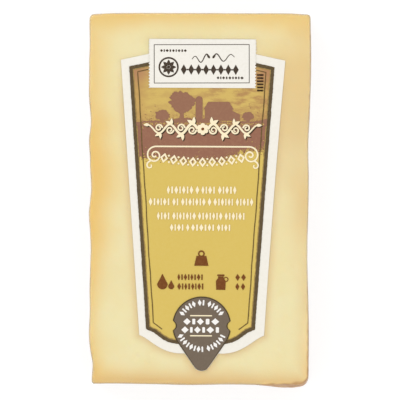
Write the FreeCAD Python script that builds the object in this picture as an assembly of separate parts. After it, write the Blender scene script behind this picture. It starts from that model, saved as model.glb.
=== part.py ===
"""Film-wrapped slab of firm washed-rind cheese with a die-cut paper label on its upper face.

The slab lies on its back: X is its width, Y its length and Z its thickness, with the labelled cut
face up. The origin is at the middle of the footprint, on the surface that the slab lies on. The
two large faces are knife cuts and are flat. The four sides are rind, so they wander in and out,
and they lean out a little towards the back face. The shrink film holds the cheese so tightly that
film and cheese are one solid. The label is a thin sheet stuck to the film. All sizes are in
millimetres.
"""

import FreeCAD
import Part

import math
import os

from FreeCAD import Vector

# --- the wrapped slab ------------------------------------------------------------------------
SLAB_WIDTH = 64.8
SLAB_LENGTH = 110.0
SLAB_THICKNESS = 19.5
FACE_EDGE_ROUND = 0.6  # where the sides turn over into the two cut faces

# Corner radii seen from above.
HEAD_LEFT_ROUND = 1.4
HEAD_RIGHT_ROUND = 1.0
FOOT_LEFT_ROUND = 0.7
FOOT_RIGHT_ROUND = 2.8

STATION_SPACING = 1.6  # how closely the sides' wandering lines are worked out

# How the sides wander at the cut face: (share of the way along, how far the rind stands out
# there, how far along that spreads). The long sides run from foot to head, the ends from left
# to right.
LEFT_SWELLS = (
    (0.00, -0.50, 5.5),
    (0.055, -0.62, 3.2),
    (0.14, 0.30, 4.5),
    (0.25, 0.15, 4.0),
    (0.365, -0.22, 4.5),
    (0.46, 0.32, 3.6),
    (0.53, -0.34, 4.0),
    (0.655, 0.36, 3.2),
    (0.71, -0.28, 3.6),
    (0.79, 0.34, 5.5),
    (0.87, 0.22, 4.0),
    (0.97, 0.15, 4.0),
)
RIGHT_SWELLS = (
    (0.10, -0.06, 15.0),
    (0.35, -0.38, 11.0),
    (0.54, 0.06, 6.0),
    (0.64, -0.25, 6.0),
    (0.88, 0.80, 20.0),
)
FOOT_SWELLS = (
    (0.05, -0.25, 12.0),
    (0.47, 0.20, 7.0),
    (0.80, 0.15, 8.0),
)
HEAD_SWELLS = (
    (0.00, -0.30, 4.0),
    (0.30, 0.10, 14.0),
    (1.00, -0.35, 4.0),
)

# How much further out the rind stands at the back face than at the front.
LEFT_LEAN = ((0.30, 0.10, 14.0), (0.75, -0.15, 12.0))
RIGHT_LEAN = ((0.12, 0.40, 16.0), (0.60, 0.10, 12.0))
FOOT_LEAN = ((0.30, 0.10, 12.0), (0.907, 1.38, 8.5))
HEAD_LEAN = ((0.40, 0.08, 14.0),)

# --- the paper label -------------------------------------------------------------------------
PAPER_THICKNESS = 0.15
LABEL_HEAD_MARGIN = 7.65  # bare film between the label and the slab's head end
LABEL_FOOT_MARGIN = 3.95  # the same at the foot end
LABEL_SIDE_MARGIN = 8.05  # the same at each side, at the shoulders
LABEL_SHIFT_RIGHT = 0.90  # it was put on a little off centre
LABEL_TILT = -0.3  # and turned by this many degrees

TICKET_LEFT = 16.2  # how far the straight head piece, between the shoulders, reaches to the left
TICKET_RIGHT = 15.85  # and how far to the right
SHOULDER_DROP = 6.3  # from the ticket's top down to the shoulder corners
SHOULDER_RISE = 1.8  # how far each shoulder climbs from its corner to the ticket
TOOTH_PITCH = 0.9  # the ticket's sides are cut in small teeth
TOOTH_DEPTH = 0.28

PANEL_TAPER = 5.87  # how much narrower each side of the panel is at its foot corner
PANEL_FOOT_HEIGHT = 10.6  # of the foot corners, above the label's lowest point
PANEL_RIGHT_BOW = 0.27  # how far the panel's right edge is pulled in at its middle
HEM_HEIGHT = 5.2  # of the curved lower hem where it runs level
HEM_SLACK = 3.2  # how far the hem's curve is drawn out at its two ends
HEM_LEVEL_HALF = 6.0  # half of the stretch where the hem runs level

PICK_RADIUS = 8.75  # the badge at the foot is a disc drawn out to a rounded tip
PICK_CENTRE_HEIGHT = 13.4
PICK_TIP_RADIUS = 2.6

QUARTER_TURN_PULL = 0.5523  # handle length of a cubic curve that turns a quarter circle


def stand_out(along, length, swells):
    """How far a side of this length stands out, this far along it."""
    total = 0.0
    for share, height, spread in swells:
        away = (along - share * length) / spread
        total += height * math.exp(-away * away)
    return total


def side_line(start, end, swells):
    """A wandering side from one nominal corner of the slab to the next, as a function of place.

    The sides go round the slab clockwise as seen from above, so that outward is to the left
    of the way from start to end. A place is the distance from the nominal start corner.
    """
    length = (end - start).Length
    along = (end - start) * (1.0 / length)
    outward = Vector(-along.y, along.x, 0)

    def point(place):
        return start + along * place + outward * stand_out(place, length, swells)

    return point, length, along


def reversed_swells(swells):
    """The same swells for a side that is run along the other way."""
    return tuple((1.0 - share, height, spread) for share, height, spread in swells)


def corner_curve(side, following):
    """A rounded corner that runs on smoothly from the end of one side into the next."""
    start, end = side.EndPoint, following.StartPoint
    start_way = side.tangent(side.LastParameter)[0]
    end_way = following.tangent(following.FirstParameter)[0]
    reach = end - start
    leave = start_way * (reach.dot(start_way) * QUARTER_TURN_PULL)
    arrive = end_way * (reach.dot(end_way) * QUARTER_TURN_PULL)
    curve = Part.BezierCurve()
    curve.setPoles([start, start + leave, end - arrive, end])
    return curve


def slab_outline(height, left, head, right, foot):
    """The slab's outline at this height, as a closed wire through four wandering sides."""
    half_x, half_y = SLAB_WIDTH / 2.0, SLAB_LENGTH / 2.0
    foot_left = Vector(-half_x, -half_y, height)
    head_left = Vector(-half_x, half_y, height)
    head_right = Vector(half_x, half_y, height)
    foot_right = Vector(half_x, -half_y, height)
    sides = [
        side_line(foot_left, head_left, left),
        side_line(head_left, head_right, head),
        side_line(head_right, foot_right, reversed_swells(right)),
        side_line(foot_right, foot_left, reversed_swells(foot)),
    ]
    rounds = [FOOT_LEFT_ROUND, HEAD_LEFT_ROUND, HEAD_RIGHT_ROUND, FOOT_RIGHT_ROUND]

    curves = []
    for number, (point, length, along) in enumerate(sides):
        point_before, length_before, _ = sides[number - 1]
        point_after, _, _ = sides[(number + 1) % len(sides)]
        # A neighbour that stands out moves the real corner, and each corner's radius starts there.
        first = rounds[number] + (point_before(length_before) - point(0.0)).dot(along)
        last = length - rounds[(number + 1) % len(rounds)] + (point_after(0.0) - point(length)).dot(along)
        stations = round((last - first) / STATION_SPACING)
        curve = Part.BSplineCurve()
        curve.interpolate(
            [point(first + (last - first) * step / stations) for step in range(stations + 1)]
        )
        curves.append(curve)

    edges = []
    for number, curve in enumerate(curves):
        following = curves[(number + 1) % len(curves)]
        edges.append(curve.toShape())
        edges.append(corner_curve(curve, following).toShape())
    return Part.Wire(edges)


def make_wrapped_cheese():
    """The cheese in its film: a leaning wall between two flat cut faces, with rounded edges."""
    back = slab_outline(
        0.0,
        LEFT_SWELLS + LEFT_LEAN,
        HEAD_SWELLS + HEAD_LEAN,
        RIGHT_SWELLS + RIGHT_LEAN,
        FOOT_SWELLS + FOOT_LEAN,
    )
    front = slab_outline(SLAB_THICKNESS, LEFT_SWELLS, HEAD_SWELLS, RIGHT_SWELLS, FOOT_SWELLS)
    slab = Part.makeLoft([back, front], True, True)
    rims = [
        edge
        for edge in slab.Edges
        if edge.BoundBox.ZLength < 0.01 * SLAB_THICKNESS
    ]
    return slab.makeFillet(FACE_EDGE_ROUND, rims)


def toothed_edge(start, end):
    """Points from start to end along a straight cut with small teeth that bite to its right."""
    length = (end - start).Length
    along = (end - start) * (1.0 / length)
    inward = Vector(along.y, -along.x, 0)
    teeth = max(1, round(length / TOOTH_PITCH))
    points = [start]
    for tooth in range(teeth):
        valley = start + along * (length * (tooth + 0.5) / teeth) + inward * TOOTH_DEPTH
        points += [valley, start + along * (length * (tooth + 1) / teeth)]
    return points


def hem_curve(outer, inner):
    """The lower hem: it leaves the panel's corner gently, dips, and runs out level."""
    curve = Part.BezierCurve()
    slope = Vector(inner.x - outer.x, 0, 0).normalize()
    leave = outer + slope * HEM_SLACK - Vector(0, HEM_SLACK / 3.0, 0)
    settle = inner - slope * HEM_SLACK * 2.0
    curve.setPoles([outer, leave, settle, inner])
    return curve


def panel_outline():
    """The label's panel with its ticket, as a closed wire. Its lowest point is the hem."""
    label_length = SLAB_LENGTH - LABEL_HEAD_MARGIN - LABEL_FOOT_MARGIN
    shoulder_half = SLAB_WIDTH / 2.0 - LABEL_SIDE_MARGIN
    shoulder_height = label_length - SHOULDER_DROP
    foot_half = shoulder_half - PANEL_TAPER

    ticket_root = shoulder_height + SHOULDER_RISE
    left_teeth = toothed_edge(
        Vector(-TICKET_LEFT, ticket_root, 0), Vector(-TICKET_LEFT, label_length, 0)
    )
    right_teeth = toothed_edge(
        Vector(TICKET_RIGHT, label_length, 0), Vector(TICKET_RIGHT, ticket_root, 0)
    )
    corners = [
        Vector(-foot_half, PANEL_FOOT_HEIGHT, 0),
        Vector(-shoulder_half, shoulder_height, 0),
        *left_teeth,
        *right_teeth,
        Vector(shoulder_half, shoulder_height, 0),
    ]
    edges = [Part.LineSegment(a, b).toShape() for a, b in zip(corners, corners[1:])]

    foot_right = Vector(foot_half, PANEL_FOOT_HEIGHT, 0)
    fall = foot_right - corners[-1]
    pulled_in = corners[-1] + fall * 0.5 + Vector(fall.y, -fall.x, 0).normalize() * PANEL_RIGHT_BOW
    edges.append(Part.Arc(corners[-1], pulled_in, foot_right).toShape())

    level_left = Vector(-HEM_LEVEL_HALF, HEM_HEIGHT, 0)
    level_right = Vector(HEM_LEVEL_HALF, HEM_HEIGHT, 0)
    edges.append(hem_curve(foot_right, level_right).toShape())
    edges.append(Part.LineSegment(level_right, level_left).toShape())
    edges.append(hem_curve(corners[0], level_left).toShape())
    return Part.Wire(Part.sortEdges(edges)[0])


def pick_outline():
    """The badge: a disc and a small tip circle, joined by the two lines that touch both."""
    spacing = PICK_CENTRE_HEIGHT - PICK_TIP_RADIUS
    lean = math.asin((PICK_RADIUS - PICK_TIP_RADIUS) / spacing)
    touch = Vector(math.cos(lean), -math.sin(lean), 0)
    disc_centre = Vector(0, PICK_CENTRE_HEIGHT, 0)
    tip_centre = Vector(0, PICK_TIP_RADIUS, 0)
    mirrored = Vector(-touch.x, touch.y, 0)

    disc_right, disc_left = disc_centre + touch * PICK_RADIUS, disc_centre + mirrored * PICK_RADIUS
    tip_right, tip_left = tip_centre + touch * PICK_TIP_RADIUS, tip_centre + mirrored * PICK_TIP_RADIUS
    disc_top = disc_centre + Vector(0, PICK_RADIUS, 0)
    return Part.Wire(
        [
            Part.Arc(disc_right, disc_top, disc_left).toShape(),
            Part.LineSegment(disc_left, tip_left).toShape(),
            Part.Arc(tip_left, Vector(0, 0, 0), tip_right).toShape(),
            Part.LineSegment(tip_right, disc_right).toShape(),
        ]
    )


def make_front_label():
    """The paper label, lying on the slab's front face with its panel and badge in one piece."""
    paper = Vector(0, 0, PAPER_THICKNESS)
    panel = Part.Face(panel_outline()).extrude(paper)
    pick = Part.Face(pick_outline()).extrude(paper)
    label = panel.fuse(pick).removeSplitter()

    label_length = SLAB_LENGTH - LABEL_HEAD_MARGIN - LABEL_FOOT_MARGIN
    label.rotate(Vector(0, label_length / 2.0, 0), Vector(0, 0, 1), LABEL_TILT)
    label.translate(Vector(LABEL_SHIFT_RIGHT, LABEL_FOOT_MARGIN - SLAB_LENGTH / 2.0, SLAB_THICKNESS))
    return label


def main():
    """Builds both pieces, puts the slab's footprint round the origin and writes the files."""
    wrapped_cheese = make_wrapped_cheese()
    front_label = make_front_label()
    footprint = wrapped_cheese.optimalBoundingBox(False, False)
    to_origin = Vector(-footprint.Center.x, -footprint.Center.y, -footprint.ZMin)

    os.makedirs("parts", exist_ok=True)
    for name, shape in (("wrapped_cheese", wrapped_cheese), ("front_label", front_label)):
        shape.translate(to_origin)
        shape.exportStep(f"parts/{name}.step")
        box = shape.BoundBox
        print(
            f"{name}: valid {shape.isValid()}, {len(shape.Solids)} solid, "
            f"{box.XLength:.2f} x {box.YLength:.2f} x {box.ZLength:.2f} mm, "
            f"{shape.Volume / 1000.0:.2f} cm3, moved {to_origin.x:.3f}, {to_origin.y:.3f}"
        )


main()
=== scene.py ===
"""Looks of a film-packed slab of washed-rind cheese with a printed paper label.

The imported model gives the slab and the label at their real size, lying flat with the label up.
The slab's solid is replaced with a cheese, whose four sides are rind, inside a thin clear film.
The label's paper stays, and its print is laid on it in thin sheets of ink, one piece for each
sheet. Lengths are written in millimetres and turned to metres where a mesh is finished.
"""

import logging
import math
import random
from dataclasses import dataclass
from enum import Enum
from typing import Any, Callable, Iterable, Sequence

import bmesh
import bpy
from mathutils import Matrix, Vector, noise
from mathutils.bvhtree import BVHTree


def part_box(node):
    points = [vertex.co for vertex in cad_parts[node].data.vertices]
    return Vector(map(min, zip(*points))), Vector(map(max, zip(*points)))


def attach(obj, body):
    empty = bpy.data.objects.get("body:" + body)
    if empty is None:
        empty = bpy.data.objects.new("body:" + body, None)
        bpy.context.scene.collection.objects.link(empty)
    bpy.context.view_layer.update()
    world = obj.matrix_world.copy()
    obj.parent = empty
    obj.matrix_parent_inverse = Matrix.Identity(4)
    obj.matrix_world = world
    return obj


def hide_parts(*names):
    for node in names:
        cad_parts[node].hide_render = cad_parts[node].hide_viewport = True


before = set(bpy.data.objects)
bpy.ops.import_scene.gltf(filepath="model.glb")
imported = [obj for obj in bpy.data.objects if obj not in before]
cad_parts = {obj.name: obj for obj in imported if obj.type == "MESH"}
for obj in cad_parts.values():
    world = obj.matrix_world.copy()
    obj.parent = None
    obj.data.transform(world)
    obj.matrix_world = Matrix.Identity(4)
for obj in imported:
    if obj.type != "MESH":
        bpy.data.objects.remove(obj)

LOG = logging.getLogger("cheese_pack")
MM = 0.001
BODY = "root"
UP = Vector((0.0, 0.0, 1.0))


# --- small tools -------------------------------------------------------------------------------


def linear(colour: str) -> tuple[float, float, float, float]:
    """Turns an sRGB hex colour into linear light.

    Args:
        colour: Six hex digits, with a leading "#".

    Returns:
        Red, green, blue and an alpha of one.
    """
    parts = [int(colour[i:i + 2], 16) / 255.0 for i in (1, 3, 5)]
    low = [p / 12.92 if p <= 0.04045 else ((p + 0.055) / 1.055) ** 2.4 for p in parts]
    return (low[0], low[1], low[2], 1.0)


def per_metre(size: float) -> float:
    """Gives the scale of a pattern whose features are this many millimetres across."""
    return 1000.0 / size


def smooth(low: float, high: float, value: float) -> float:
    """Goes smoothly from 0 at low to 1 at high, whichever of the two is larger."""
    share = min(1.0, max(0.0, (value - low) / (high - low)))
    return share * share * (3.0 - 2.0 * share)


def bell(distance: float, spread: float) -> float:
    """A smooth hump of height one that fades over the spread."""
    return math.exp(-(distance / spread) ** 2)


def add_node(
    tree: bpy.types.NodeTree,
    kind: str,
    inputs: dict[Any, Any] | None = None,
    settings: dict[str, Any] | None = None,
) -> bpy.types.Node:
    """Adds a node to a tree.

    Args:
        tree: The node tree.
        kind: The node's type.
        inputs: Input name or number, with a plain value or the output socket that feeds it.
        settings: The node's own settings by name.

    Returns:
        The new node.
    """
    node = tree.nodes.new(kind)
    for name, value in (settings or {}).items():
        setattr(node, name, value)
    for name, value in (inputs or {}).items():
        if isinstance(value, bpy.types.NodeSocket):
            tree.links.new(value, node.inputs[name])
        else:
            node.inputs[name].default_value = value
    return node


def new_material(name: str) -> tuple[bpy.types.Material, bpy.types.NodeTree]:
    """Makes an empty node material and gives it with its tree."""
    material = bpy.data.materials.new(name)
    material.use_nodes = True
    material.node_tree.nodes.clear()
    return material, material.node_tree


def finish_piece(
    bm: bmesh.types.BMesh, name: str, material: bpy.types.Material, shade_smooth: bool = False
) -> bpy.types.Object:
    """Turns a bmesh, in metres and in place, into a piece that rides on the pack.

    Args:
        bm: The geometry, which is freed.
        name: The piece's name.
        material: Its finish.
        shade_smooth: Whether its faces are shaded smooth.

    Returns:
        The piece.
    """
    mesh = bpy.data.meshes.new(name)
    bm.to_mesh(mesh)
    bm.free()
    mesh.materials.append(material)
    mesh.polygons.foreach_set("use_smooth", [shade_smooth] * len(mesh.polygons))
    piece = bpy.data.objects.new(name, mesh)
    bpy.context.scene.collection.objects.link(piece)
    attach(piece, BODY)
    LOG.info("%s: %d faces", name, len(mesh.polygons))
    return piece


def merged_copy(node: str) -> bmesh.types.BMesh:
    """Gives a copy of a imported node's mesh with its loose corners merged."""
    bm = bmesh.new()
    bm.from_mesh(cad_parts[node].data)
    bmesh.ops.remove_doubles(bm, verts=bm.verts, dist=1e-7)
    return bm


def even_skin(bm: bmesh.types.BMesh, cell: float) -> bmesh.types.BMesh:
    """Remeshes a closed shape into even cells, and draws the corners back out to its surface.

    Args:
        bm: The closed shape, in metres, which is freed.
        cell: The cell's size, in millimetres.

    Returns:
        The remeshed shape.
    """
    surface = BVHTree.FromBMesh(bm)
    mesh = bpy.data.meshes.new("skin")
    bm.to_mesh(mesh)
    bm.free()
    holder = bpy.data.objects.new("skin", mesh)
    bpy.context.scene.collection.objects.link(holder)
    remesh = holder.modifiers.new("even", "REMESH")
    remesh.mode = "VOXEL"
    remesh.voxel_size = cell * MM
    done = bpy.data.meshes.new_from_object(holder.evaluated_get(bpy.context.evaluated_depsgraph_get()))
    skin = bmesh.new()
    skin.from_mesh(done)
    bpy.data.objects.remove(holder)
    bpy.data.meshes.remove(done)
    bpy.data.meshes.remove(mesh)
    for vert in skin.verts:
        vert.co = surface.find_nearest(vert.co)[0]
    skin.normal_update()
    return skin


# --- finishes ----------------------------------------------------------------------------------


@dataclass(frozen=True)
class WashedRindCheeseFinish:
    """Firm cow's-milk cheese, pressed and washed: a cut paste that turns into rind at the sides.

    It gives a dense ivory body that light goes a little way into, a golden zone under the rind,
    a tan towards the edges that is partly painted shade where they round away, painted shade
    next to the label, and a thin tan to pink-brown rind with paler bloom.
    """

    pale: str = "#fbf0c2"
    deep: str = "#f9eab4"
    golden: str = "#f8d47c"
    # Partly the paste's own colour near the rind and partly painted shade where the edges round away.
    tan: str = "#ebc985"
    # Painted shade on the paste next to the label, where the paper keeps light out of it.
    shaded: str = "#ecce96"
    rind: str = "#cc9a62"
    rind_dark: str = "#a46b40"
    bloom: str = "#e6cda2"
    cloud: float = 13.0
    curd: float = 0.9
    rind_patch: float = 6.0
    rind_dust: float = 2.6
    rind_grit: float = 0.7

    def build(self) -> bpy.types.Material:
        """Makes the material."""
        material, tree = new_material("washed_rind_cheese_cut_and_pressed")
        place = add_node(tree, "ShaderNodeTexCoord").outputs["Object"]
        under = add_node(tree, "ShaderNodeAttribute", settings={"attribute_name": "under_rind"})
        browned_and_shaded = add_node(tree, "ShaderNodeAttribute", settings={"attribute_name": "browned_and_shaded"})
        covered = add_node(tree, "ShaderNodeAttribute", settings={"attribute_name": "rind"})
        label_shade_mask = add_node(tree, "ShaderNodeAttribute", settings={"attribute_name": "label_shade"})
        mottle = {
            size: add_node(tree, "ShaderNodeTexNoise", {
                "Vector": place, "Scale": per_metre(size), "Detail": 3.0, "Roughness": 0.6,
            }).outputs["Fac"]
            for size in (self.cloud, self.curd, self.rind_patch, self.rind_dust, self.rind_grit)
        }
        # Each pattern's size, the noise at which it starts and is full, and how strong it is then.
        share = {
            size: add_node(tree, "ShaderNodeMapRange", {
                "Value": mottle[size], "From Min": low, "From Max": high, "To Min": 0.0, "To Max": top,
            }, {"interpolation_type": "SMOOTHSTEP"}).outputs["Result"]
            for size, low, high, top in (
                (self.cloud, 0.35, 0.68, 0.6), (self.curd, 0.45, 0.8, 0.06),
                (self.rind_patch, 0.40, 0.62, 0.8), (self.rind_dust, 0.48, 0.68, 0.45),
                (self.rind_grit, 0.52, 0.70, 0.35),
            )
        }
        body, skin = linear(self.pale), linear(self.rind)
        # The tan coat is partly painted shade towards the edges; the shaded coat is painted shade next to
        # the label.
        for amount, coat in (
            (share[self.cloud], self.deep), (share[self.curd], self.golden),
            (under.outputs["Fac"], self.golden), (browned_and_shaded.outputs["Fac"], self.tan),
            (label_shade_mask.outputs["Fac"], self.shaded),
        ):
            body = add_node(
                tree, "ShaderNodeMix", {0: amount, 6: body, 7: linear(coat)}, {"data_type": "RGBA"}
            ).outputs[2]
        for amount, coat in (
            (share[self.rind_patch], self.rind_dark), (share[self.rind_dust], self.bloom),
            (share[self.rind_grit], self.rind_dark),
        ):
            skin = add_node(
                tree, "ShaderNodeMix", {0: amount, 6: skin, 7: linear(coat)}, {"data_type": "RGBA"}
            ).outputs[2]
        colour = add_node(
            tree, "ShaderNodeMix", {0: covered.outputs["Fac"], 6: body, 7: skin}, {"data_type": "RGBA"}
        ).outputs[2]
        pitted = add_node(tree, "ShaderNodeMapRange", {
            "Value": covered.outputs["Fac"], "To Min": 0.12, "To Max": 1.0,
        })
        relief = add_node(tree, "ShaderNodeBump", {
            "Height": mottle[self.rind_grit], "Strength": pitted.outputs["Result"], "Distance": 0.0004,
        })
        surface = add_node(tree, "ShaderNodeBsdfPrincipled", {
            "Base Color": colour, "Roughness": 0.55, "IOR": 1.45, "Subsurface Weight": 0.2,
            "Subsurface Radius": (1.0, 0.62, 0.28), "Subsurface Scale": 0.0016,
            "Specular IOR Level": 0.35, "Normal": relief.outputs["Normal"],
        })
        add_node(tree, "ShaderNodeOutputMaterial", {"Surface": surface.outputs["BSDF"]})
        return material


@dataclass(frozen=True)
class ShrinkFilmFinish:
    """Clear polyolefin film, blown and heat-shrunk: nearly invisible but for its gloss and folds.

    A pale sheen is painted on it where it rounds the slab's edges, standing in for its reflection there.
    """

    edge_sheen: str = "#ebe1c8"
    roughness: float = 0.16
    ripple: float = 4.0

    def build(self) -> bpy.types.Material:
        """Makes the material."""
        material, tree = new_material("polyolefin_film_heat_shrunk")
        place = add_node(tree, "ShaderNodeTexCoord").outputs["Object"]
        ripple = add_node(tree, "ShaderNodeTexNoise", {
            "Vector": place, "Scale": per_metre(self.ripple), "Detail": 2.0, "Roughness": 0.45,
        })
        relief = add_node(tree, "ShaderNodeBump", {
            "Height": ripple.outputs["Fac"], "Strength": 0.35, "Distance": 0.0002,
        })
        edge_on = add_node(tree, "ShaderNodeFresnel", {"IOR": 1.5, "Normal": relief.outputs["Normal"]})
        shine = add_node(tree, "ShaderNodeAttribute", settings={"attribute_name": "gloss_share"})
        share = add_node(tree, "ShaderNodeMath", {
            0: edge_on.outputs["Fac"], 1: shine.outputs["Fac"],
        }, {"operation": "MULTIPLY"})
        clear = add_node(tree, "ShaderNodeBsdfTransparent", {"Color": (1.0, 1.0, 1.0, 1.0)})
        gloss = add_node(tree, "ShaderNodeBsdfAnisotropic", {
            "Color": (1.0, 1.0, 1.0, 1.0), "Roughness": self.roughness,
            "Normal": relief.outputs["Normal"],
        })
        both = add_node(tree, "ShaderNodeMixShader", {
            0: share.outputs["Value"], 1: clear.outputs["BSDF"], 2: gloss.outputs["BSDF"],
        })
        # Painted pale sheen where the film rounds the edges, laid over its clear gloss.
        sheen_mask = add_node(tree, "ShaderNodeAttribute", settings={"attribute_name": "painted_edge_sheen"})
        milk = add_node(tree, "ShaderNodeBsdfDiffuse", {"Color": linear(self.edge_sheen)})
        surface = add_node(tree, "ShaderNodeMixShader", {
            0: sheen_mask.outputs["Fac"], 1: both.outputs["Shader"], 2: milk.outputs["BSDF"],
        })
        add_node(tree, "ShaderNodeOutputMaterial", {"Surface": surface.outputs["Shader"]})
        return material


@dataclass(frozen=True)
class LabelPaperFinish:
    """Uncoated label paper, calendered: warm off-white, matte, with a faint fibre mottle."""

    colour: str = "#f4f0e7"
    mottle: str = "#eae5d8"
    fibre: float = 1.1

    def build(self) -> bpy.types.Material:
        """Makes the material."""
        material, tree = new_material("label_paper_uncoated")
        place = add_node(tree, "ShaderNodeTexCoord").outputs["Object"]
        fibre = add_node(tree, "ShaderNodeTexNoise", {
            "Vector": place, "Scale": per_metre(self.fibre), "Detail": 4.0, "Roughness": 0.65,
        })
        colour = add_node(tree, "ShaderNodeMix", {
            0: fibre.outputs["Fac"], 6: linear(self.colour), 7: linear(self.mottle),
        }, {"data_type": "RGBA"})
        relief = add_node(tree, "ShaderNodeBump", {
            "Height": fibre.outputs["Fac"], "Strength": 0.15, "Distance": 0.00004,
        })
        surface = add_node(tree, "ShaderNodeBsdfPrincipled", {
            "Base Color": colour.outputs[2], "Roughness": 0.7, "Specular IOR Level": 0.2,
            "Normal": relief.outputs["Normal"],
        })
        add_node(tree, "ShaderNodeOutputMaterial", {"Surface": surface.outputs["BSDF"]})
        return material


@dataclass(frozen=True)
class InkFinish:
    """Offset ink on uncoated paper, matte: a colour that the paper's tooth breaks up a little."""

    name: str
    colour: str
    worn: str
    wear: float = 0.35
    tooth: float = 0.8

    def build(self) -> bpy.types.Material:
        """Makes the material, or gives the one made before."""
        known = bpy.data.materials.get(self.name)
        if known:
            return known
        material, tree = new_material(self.name)
        place = add_node(tree, "ShaderNodeTexCoord").outputs["Object"]
        tooth = add_node(tree, "ShaderNodeTexNoise", {
            "Vector": place, "Scale": per_metre(self.tooth), "Detail": 3.0, "Roughness": 0.7,
        })
        share = add_node(tree, "ShaderNodeMapRange", {
            "Value": tooth.outputs["Fac"], "From Min": 0.45, "From Max": 0.8, "To Min": 0.0,
            "To Max": self.wear,
        })
        colour = add_node(tree, "ShaderNodeMix", {
            0: share.outputs["Result"], 6: linear(self.colour), 7: linear(self.worn),
        }, {"data_type": "RGBA"})
        surface = add_node(tree, "ShaderNodeBsdfPrincipled", {
            "Base Color": colour.outputs[2], "Roughness": 0.62, "Specular IOR Level": 0.2,
        })
        add_node(tree, "ShaderNodeOutputMaterial", {"Surface": surface.outputs["BSDF"]})
        return material


@dataclass(frozen=True)
class GoldenFieldFinish:
    """Offset golden-yellow ink with a dry-brushed brown tone laid over it towards the top.

    It gives the even mustard of the lower label and the clouded evening sky of the upper one.
    """

    gold: str = "#d5b858"
    gold_light: str = "#d9bf69"
    sky: str = "#d0b263"
    edge: str = "#c19959"
    corner: str = "#b2825c"
    brush: str = "#b18855"
    stroke: float = 5.0
    grain: float = 0.8

    def build(self, place_on_label: Matrix) -> bpy.types.Material:
        """Makes the material.

        Args:
            place_on_label: Turns a point in the frame, in metres, into label millimetres.

        Returns:
            The material.
        """
        material, tree = new_material("golden_ink_dry_brushed")
        place = add_node(tree, "ShaderNodeTexCoord").outputs["Object"]
        centred = add_node(tree, "ShaderNodeMapping", {
            "Vector": place, "Location": place_on_label.to_translation(),
            "Rotation": place_on_label.to_euler(), "Scale": place_on_label.to_scale(),
        }, {"vector_type": "POINT"}).outputs["Vector"]
        axes = add_node(tree, "ShaderNodeSeparateXYZ", {"Vector": centred})
        aside = add_node(tree, "ShaderNodeMath", {0: axes.outputs["X"]}, {"operation": "ABSOLUTE"})
        stretched = add_node(tree, "ShaderNodeMapping", {
            "Vector": centred, "Scale": (1.0 / self.stroke, 2.6 / self.stroke, 1.0),
        })
        stroke = add_node(tree, "ShaderNodeTexNoise", {
            "Vector": stretched.outputs["Vector"], "Scale": 1.0, "Detail": 5.0, "Roughness": 0.65,
        })
        grain = add_node(tree, "ShaderNodeTexNoise", {
            "Vector": place, "Scale": per_metre(self.grain), "Detail": 3.0, "Roughness": 0.7,
        })
        # Each share's source, where it starts and is full, and what it is at each, in label mm.
        share = {
            name: add_node(tree, "ShaderNodeMapRange", {
                "Value": value, "From Min": low, "From Max": high, "To Min": least, "To Max": most,
            }, {"interpolation_type": "SMOOTHSTEP"}).outputs["Result"]
            for name, value, low, high, least, most in (
                ("sky", axes.outputs["Y"], 66.0, 76.0, 0.0, 1.0),
                ("edge", aside.outputs["Value"], 15.5, 19.5, 0.0, 0.75),
                ("outward", aside.outputs["Value"], 12.5, 19.5, 0.0, 0.9),
                ("upward", axes.outputs["Y"], 82.5, 88.5, 0.0, 1.0),
                ("streaks", stroke.outputs["Fac"], 0.40, 0.64, 0.0, 1.0),
                ("rightward", axes.outputs["X"], -10.0, 12.0, 0.35, 0.95),
                ("haze", axes.outputs["Y"], 79.0, 73.5, 0.0, 0.75),
                ("mist", grain.outputs["Fac"], 0.35, 0.65, 0.2, 1.0),
            )
        }
        for name, first, second in (
            ("edge", "edge", "sky"), ("corner", "outward", "upward"),
            ("streaks", "streaks", "rightward"), ("streaks", "streaks", "sky"), ("haze", "haze", "mist"),
            ("haze", "haze", "sky"),
        ):
            share[name] = add_node(
                tree, "ShaderNodeMath", {0: share[first], 1: share[second]}, {"operation": "MULTIPLY"}
            ).outputs["Value"]
        colour = linear(self.gold)
        for amount, coat in (
            (grain.outputs["Fac"], self.gold_light), (share["sky"], self.sky), (share["edge"], self.edge),
            (share["streaks"], self.brush), (share["haze"], self.brush), (share["corner"], self.corner),
        ):
            colour = add_node(
                tree, "ShaderNodeMix", {0: amount, 6: colour, 7: linear(coat)}, {"data_type": "RGBA"}
            ).outputs[2]
        surface = add_node(tree, "ShaderNodeBsdfPrincipled", {
            "Base Color": colour, "Roughness": 0.62, "Specular IOR Level": 0.2,
        })
        add_node(tree, "ShaderNodeOutputMaterial", {"Surface": surface.outputs["BSDF"]})
        return material


DARK_INK = InkFinish("dark_ink_olive_brown", "#59492f", "#706246", wear=0.6)
EDGE_INK = InkFinish("badge_edge_ink_olive_brown", "#483b26", "#5f5138", wear=0.5)
WASH_INK = InkFinish("frame_wash_olive_brown", "#9c804a", "#bfa25a", wear=0.9)
LINE_INK = InkFinish("line_ink_brown", "#624f2b", "#846a34", wear=0.9)
BAND_INK = InkFinish("band_ink_red_brown", "#936550", "#a67c5f", wear=0.5)
WORN_INK = InkFinish("worn_through_gold", "#c9aa5b", "#d5ba5e", wear=0.9)
HILL_INK = InkFinish("hill_ink_brown", "#946952", "#a67c5f", wear=0.4)
CREAM_INK = InkFinish("cream_ink", "#f9ebc8", "#f4e0aa", wear=0.4)
SHADOW_INK = InkFinish("shadow_ink_dark_brown", "#3f2f1d", "#513d2b", wear=0.4)
FIGURE_INK = InkFinish("figure_ink_red_brown", "#713f14", "#8c5e2e", wear=0.6)
BADGE_INK = InkFinish("badge_ink_taupe", "#706253", "#7d6f5e", wear=0.5)
WHITE_INK = InkFinish("white_ink", "#f4f1ed", "#eae5da", wear=0.4)
TICKET_INK = InkFinish("ticket_white_ink", "#f0ece3", "#e6e1d4", wear=0.6)
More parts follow.
